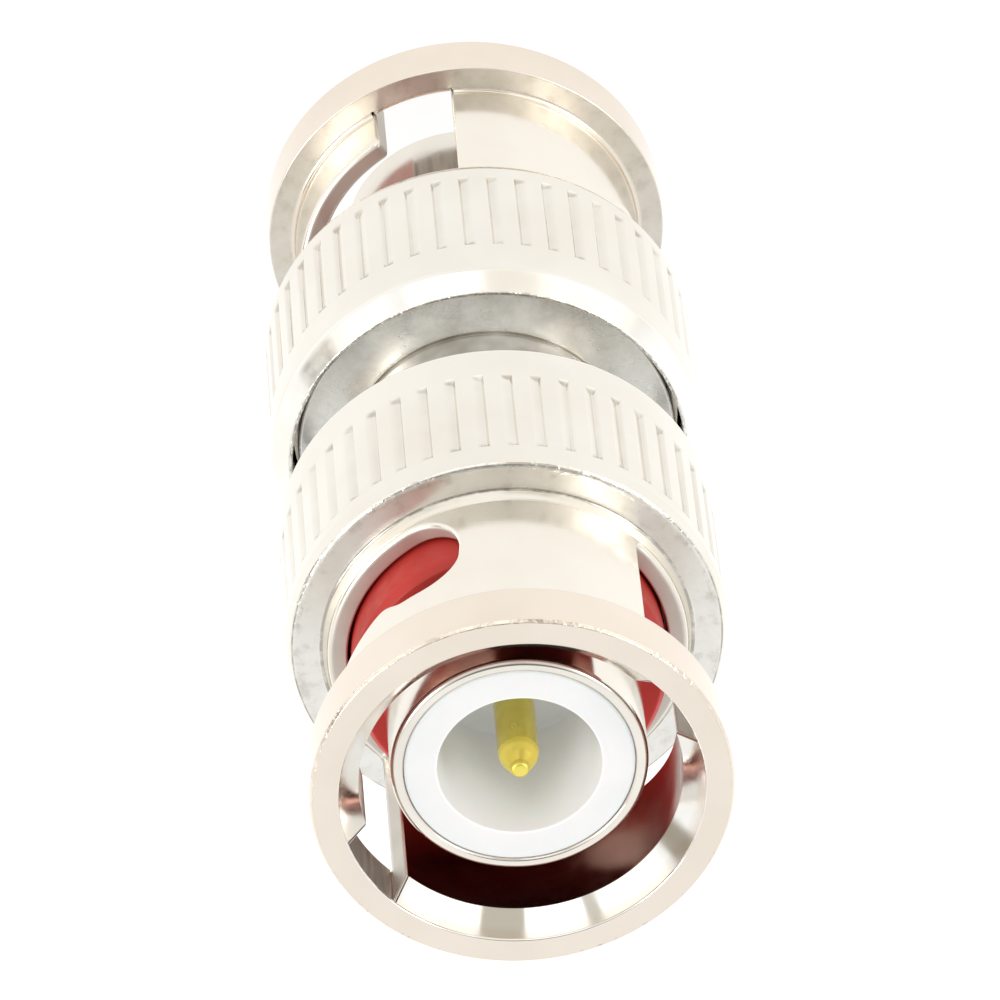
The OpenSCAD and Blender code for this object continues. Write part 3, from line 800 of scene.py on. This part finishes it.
    # floor of the entry channel under the flange: the dark tone is painted shade, the streaks are tool marks
    streaks = m.node("ShaderNodeMapping")
    streaks.inputs["Scale"].default_value = (1, 1, 0.12)
    m.link(m.obj(), streaks.inputs["Vector"])
    streak = m.noise(2600, 3, 0.6, vec=streaks.outputs[0])
    channel = m.ramp(streak, [(0.35, (0.30, 0.26, 0.23)), (0.65, (0.52, 0.47, 0.42))])
    col = m.mix(is_channel, col, channel)
    col = m.mix(is_bore, col, bore_shade_paint)
    m.link(col, m.b.inputs["Base Color"])
    gloss = m.span(m.noise(900, 3, 0.6), 0.3, 0.7, 0.12, 0.20)
    gloss = m.math("MULTIPLY_ADD", is_cone, -0.07, gloss)
    gloss = m.math("MULTIPLY_ADD", is_wall, 0.36, gloss)
    gloss = m.math("MULTIPLY_ADD", is_face, 0.16, gloss)
    gloss = m.math("MULTIPLY_ADD", is_back, 0.24, gloss)
    gloss = m.math("MULTIPLY_ADD", is_channel, 0.34, gloss)
    m.link(gloss, m.b.inputs["Roughness"])
    rings = m.noise(14000, 2, 0.6, "1D", w=m.math("ADD", rad, z))
    m.bump(rings, 0.18, 0.000001)
    m.bump(m.noise(420, 2, 0.5), 0.2, 0.00005)
    # nicks along the edges that stand proud
    edges = m.math("MULTIPLY", m.span(r, 6.50, 6.56), m.span(dist, 0.16, 0.10))
    shoulder = m.math("MULTIPLY", m.math("MULTIPLY", m.span(r, 6.66, 6.74), m.span(r, 7.05, 6.95)), m.span(dist, 8.6, 8.5))
    rear = m.math("MULTIPLY", m.span(r, 6.60, 6.55), m.math("MULTIPLY", m.span(r, 6.38, 6.42), m.span(dist, 14.9, 14.98)))
    mask = m.math("MAXIMUM", m.math("MULTIPLY", edges, 0.8), m.math("MAXIMUM", m.math("MULTIPLY", shoulder, 0.55), rear))
    dents = m.span(m.noise(4600, 3, 0.6), 0.46, 0.72, smooth=True)
    m.bump(m.math("MULTIPLY", mask, dents), 0.8, 0.00002)
    return m.done()


mat_nut = nut_nickel()
mat_sleeve = nickel("nickel_contact", (0.88, 0.83, 0.75), (0.82, 0.765, 0.69), 0.10, 0.18, ring=0.5, wave=0.5)


def body_nickel():
    """The middle: clouded bright discs, and a duller barrel between them, painted darker than the discs as shade, with
    random lighter patches.
    """
    m = Mat("nickel_body")
    m.set(Metallic=1.0, Anisotropic=0.4)
    rad, z = m.radius()
    r = m.math("MULTIPLY", rad, 1000.0)
    on_disc = m.span(r, 4.52, 4.56)
    haze = m.math("MULTIPLY", on_disc, m.span(m.noise(520, 4, 0.62), 0.36, 0.66, 0.20, 0.52))
    m.link(m.math("SUBTRACT", 1.0, haze), m.b.inputs["Metallic"])
    disc = m.ramp(m.noise(420, 4, 0.62), [(0.32, (0.80, 0.81, 0.79)), (0.48, (0.95, 0.95, 0.92)), (0.66, (0.99, 0.98, 0.93))])
    # the barrel is painted darker than the discs: painted shade of the gap between the nuts, with random lighter
    # patches
    barrel = m.ramp(m.noise(330, 3, 0.6), [(0.38, (0.33, 0.30, 0.26)), (0.54, (0.50, 0.47, 0.42)), (0.68, (0.74, 0.72, 0.68))])
    m.link(m.mix(on_disc, barrel, disc), m.b.inputs["Base Color"])
    gloss = m.span(m.noise(900, 3, 0.6), 0.3, 0.7, 0.14, 0.26)
    m.link(m.math("MULTIPLY_ADD", m.math("SUBTRACT", 1.0, on_disc), 0.14, gloss), m.b.inputs["Roughness"])
    m.bump(m.noise(14000, 2, 0.6, "1D", w=m.math("ADD", rad, z)), 0.35, 0.000001)
    m.bump(m.noise(420, 2, 0.5), 0.3, 0.00005)
    t = m.node("ShaderNodeTangent", direction_type="RADIAL", axis="Z")
    m.link(t.outputs[0], m.b.inputs["Tangent"])
    return m.done()


mat_body = body_nickel()


def ptfe(name, col, col2):
    m = Mat(name)
    m.set(Subsurface_Weight=0.25, Subsurface_Scale=0.0006, IOR=1.38)
    n = m.noise(500, 3, 0.5)
    rad, z = m.radius()
    # bore wall inside r 2.62 mm painted brighter and bluer than the front face: painted light, cooled against the pin's
    # gold reflection
    face = m.span(rad, 0.00262, 0.00268)
    m.link(m.mix(face, (0.92, 0.935, 0.975), m.ramp(n, [(0.35, col2), (0.65, col)])), m.b.inputs["Base Color"])
    m.link(m.span(m.noise(1500, 2, 0.5), 0.3, 0.7, 0.38, 0.52), m.b.inputs["Roughness"])
    m.bump(m.noise(9000, 2, 0.6, "1D", w=m.math("ADD", rad, z)), 0.5, 0.000003)
    m.bump(m.noise(2500, 2, 0.5), 0.4, 0.000004)
    return m.done()


mat_ptfe = ptfe("ptfe_white", (0.79, 0.795, 0.80), (0.76, 0.77, 0.78))
mat_bead = ptfe("ptfe_bead", (0.88, 0.88, 0.87), (0.84, 0.84, 0.83))


def gold():
    m = Mat("gold_plate")
    m.set(Metallic=1.0)
    n = m.noise(900, 2, 0.5)
    m.link(m.ramp(n, [(0.3, (0.86, 0.70, 0.12)), (0.7, (0.95, 0.82, 0.20))]), m.b.inputs["Base Color"])
    rad, z = m.radius()
    near_end = m.math("MINIMUM", z, m.math("SUBTRACT", TOTAL * MM, z))
    tip = m.span(near_end, 0.00225, 0.0020)
    m.link(m.math("MULTIPLY_ADD", tip, 0.16, m.span(m.noise(2500, 2, 0.5), 0.3, 0.7, 0.16, 0.28)), m.b.inputs["Roughness"])
    m.bump(m.noise(22000, 2, 0.6, "1D", w=m.math("ADD", rad, z)), 0.5, 0.000002)
    return m.done()


def rubber():
    m = Mat("silicone_red")
    m.set(IOR=1.43, Subsurface_Weight=0.12, Subsurface_Scale=0.0008)
    n = m.noise(350, 3, 0.5)
    m.link(m.ramp(n, [(0.3, (0.38, 0.020, 0.016)), (0.7, (0.52, 0.035, 0.026))]), m.b.inputs["Base Color"])
    m.link(m.span(m.noise(1800, 2, 0.5), 0.3, 0.7, 0.42, 0.58), m.b.inputs["Roughness"])
    m.bump(m.noise(1200, 2, 0.5), 0.3, 0.00002)
    return m.done()


def steel(name, col, col2):
    m = Mat(name)
    m.set(Metallic=1.0, Anisotropic=0.4)
    n = m.noise(600, 3, 0.5)
    m.link(m.ramp(n, [(0.3, col2), (0.7, col)]), m.b.inputs["Base Color"])
    m.link(m.span(m.noise(2000, 2, 0.5), 0.3, 0.7, 0.22, 0.36), m.b.inputs["Roughness"])
    rad, z = m.radius()
    m.bump(m.noise(16000, 2, 0.6, "1D", w=m.math("ADD", rad, z)), 0.5, 0.000002)
    return m.done()


mat_gold, mat_red = gold(), rubber()
mat_spring = steel("spring_steel", (0.58, 0.58, 0.59), (0.48, 0.48, 0.5))
mat_washer = steel("washer_steel", (0.66, 0.66, 0.67), (0.58, 0.58, 0.6))

use = {"nut_a": (mat_nut, "nut_nickel"), "nut_b": (mat_nut, "nut_nickel"), "body": (mat_body, "body_nickel"), "pin": (mat_gold, "gold")}
for end in "ab":
    use["contact_" + end] = (mat_sleeve, "contact_nickel")
    use["ptfe_" + end] = (mat_ptfe, "ptfe")
    use["bead_" + end] = (mat_bead, "bead_ptfe")
    use["gasket_" + end] = (mat_red, "silicone")
    use["slip_" + end] = (mat_washer, "washer_steel")
    use["spring_" + end] = (mat_spring, "spring_steel")
for k, (m, sl) in use.items():
    objs[k].data.materials.clear()
    objs[k].data.materials.append(m)
for node, m in (("thrust_washer_a", mat_washer), ("thrust_washer_b", mat_washer)):
    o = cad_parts[node]
    o.data.materials.clear()
    o.data.materials.append(m)

# ---------------------------------------------------------------- stage, light, camera

bpy.ops.mesh.primitive_plane_add(size=4.0, location=(0, 0, 0))
floor = bpy.context.object
floor.name = "floor"
fm = Mat("floor_paper")
fm.set(Roughness=0.9)
fm.link(fm.ramp(fm.noise(300, 3, 0.5), [(0.3, (0.10, 0.10, 0.10)), (0.7, (0.11, 0.11, 0.11))]), fm.b.inputs["Base Color"])
# the floor's glow is weaker on the camera's side (+Y) and stronger behind the part: painted light and shade on the
# floor
fs = fm.xyz()
away = fm.math("ARCTAN2", fs.outputs[0], fs.outputs[1])
glow = fm.math("MULTIPLY_ADD", fm.math("COSINE", away), -0.09, 1.03)
fm.link(glow, fm.b.inputs["Emission Strength"])
fm.set(Emission_Color=(1, 0.998, 0.99, 1), Specular_IOR_Level=0.0)
floor.data.materials.append(fm.done())


def studio():
    """The room as a soft procedural dome: pale all round, with a few cards."""
    w = bpy.data.worlds.new("studio")
    scene.world = w
    w.use_nodes = True
    nt = w.node_tree
    nt.nodes.clear()
    out = nt.nodes.new("ShaderNodeOutputWorld")
    bg = nt.nodes.new("ShaderNodeBackground")
    tc = nt.nodes.new("ShaderNodeTexCoord")
    sep = nt.nodes.new("ShaderNodeSeparateXYZ")
    nt.links.new(tc.outputs["Generated"], sep.inputs[0])

    def mth(op, a, b=None, c=None, clamp=False):
        n = nt.nodes.new("ShaderNodeMath")
        n.operation, n.use_clamp = op, clamp
        for i, v in enumerate((a, b, c)):
            if v is None:
                continue
            if isinstance(v, (int, float)):
                n.inputs[i].default_value = v
            else:
                nt.links.new(v, n.inputs[i])
        return n.outputs[0]

    def step(v, lo, hi):
        n = nt.nodes.new("ShaderNodeMapRange")
        n.interpolation_type, n.clamp = "SMOOTHSTEP", True
        n.inputs["From Min"].default_value, n.inputs["From Max"].default_value = lo, hi
        nt.links.new(v, n.inputs["Value"])
        return n.outputs["Result"]

    az = mth("MULTIPLY", mth("ARCTAN2", sep.outputs[0], sep.outputs[1]), 57.29578)  # 0 at +Y, 90 at +X
    el = mth("MULTIPLY", mth("ARCSINE", sep.outputs[2]), 57.29578)

    def mix(fac, a, b):
        n = nt.nodes.new("ShaderNodeMix")
        n.data_type = "RGBA"
        if isinstance(fac, (int, float)):
            n.inputs[0].default_value = fac
        else:
            nt.links.new(fac, n.inputs[0])
        for sock, v in ((n.inputs[6], a), (n.inputs[7], b)):
            if isinstance(v, tuple):
                sock.default_value = v + (1,)
            else:
                nt.links.new(v, sock)
        return n.outputs[2]

    def window(v, lo, hi, soft):
        return mth("MULTIPLY", step(v, lo - soft / 2, lo + soft / 2), mth("SUBTRACT", 1.0, step(v, hi - soft / 2, hi + soft / 2)))

    def card(prev, a0, a1, e0, e1, col, soft=4.0, soft_e=6.0, amount=1.0):
        f = mth("MULTIPLY", window(az, a0, a1, soft), window(el, e0, e1, soft_e))
        if amount < 1:
            f = mth("MULTIPLY", f, amount)
        return mix(f, prev, col)

    base = mix(step(el, 62, 76), (1.0, 0.995, 0.985), (0.22, 0.22, 0.22))
    behind = mth("MULTIPLY", step(mth("ABSOLUTE", az), 130, 146), window(el, 36, 72, 8.0))
    base = mix(behind, base, (1.04, 1.06, 1.07))
    c = base
    for args in CARDS:
        c = card(c, *args)
    # the backdrop that the camera sees directly is plain
    lp = nt.nodes.new("ShaderNodeLightPath")
    c = mix(lp.outputs["Is Camera Ray"], c, (1.0, 1.0, 1.0))
    nt.links.new(c, bg.inputs[0])
    bg.inputs[1].default_value = 1.0
    nt.links.new(bg.outputs[0], out.inputs[0])


CARDS = [
    # azimuth from, to, elevation from, to, colour, softness
    (-120, -40, 40, 66, (0.80, 0.80, 0.80), 16.0, 8.0),
    (-40, 50, 40, 68, (0.80, 0.795, 0.785), 16.0, 8.0),
    (0, 16, 44, 62, (0.60, 0.59, 0.575), 8.0, 8.0),
    (-28, 6, 6, 38, (1.42, 1.41, 1.37), 1.5, 6.0),
    (6, 31, 16, 38, (0.56, 0.52, 0.45), 1.5, 5.0),
    (6, 31, -14, 14, (1.15, 1.12, 1.05), 3.0, 5.0),
    (31, 74, -12, 38, (1.30, 1.28, 1.22), 1.5, 8.0),
    (-37, -29, 18, 38, (0.66, 0.63, 0.57), 2.0, 5.0),
    (-78, -37, 2, 36, (1.28, 1.26, 1.20), 3.0, 6.0),
    (-98, -84, 2, 22, (0.36, 0.32, 0.26), 4.0, 6.0),
    (-78, -40, -14, 4, (0.9, 0.86, 0.78), 4.0, 4.0),
]
studio()


def area(name, loc, target, size, power, col=(1, 0.98, 0.95)):
    l = bpy.data.lights.new(name, "AREA")
    l.shape, l.size, l.energy, l.color = "DISK", size, power, col
    o = bpy.data.objects.new(name, l)
    scene.collection.objects.link(o)
    o.location = loc
    o.rotation_euler = (Vector(target) - Vector(loc)).to_track_quat("-Z", "Y").to_euler()
    o.visible_camera = False
    return o


area("softbox_left", (-0.35, 0.05, 0.35), (0, 0, 0.015), 0.22, 0.8)
area("softbox_right", (0.32, 0.12, 0.30), (0, 0, 0.015), 0.18, 0.5)

scene.view_settings.view_transform = "Standard"
scene.view_settings.look = "None"

cam = bpy.data.cameras.new("camera")
cam.sensor_width, cam.lens = 36.0, 366.9
cam.clip_start, cam.clip_end = 0.01, 20.0
co = bpy.data.objects.new("camera", cam)
scene.collection.objects.link(co)
right, up_, fwd = Vector((0.9949, -0.0825, 0.0582)), Vector((0.1010, 0.8132, -0.5731)), Vector((0.0, -0.5761, -0.8174))
rm = Matrix((right, up_, -fwd)).transposed()
co.matrix_world = Matrix.Translation(Vector((0.218, 190.83, 288.2)) * MM) @ rm.to_4x4()
scene.camera = co
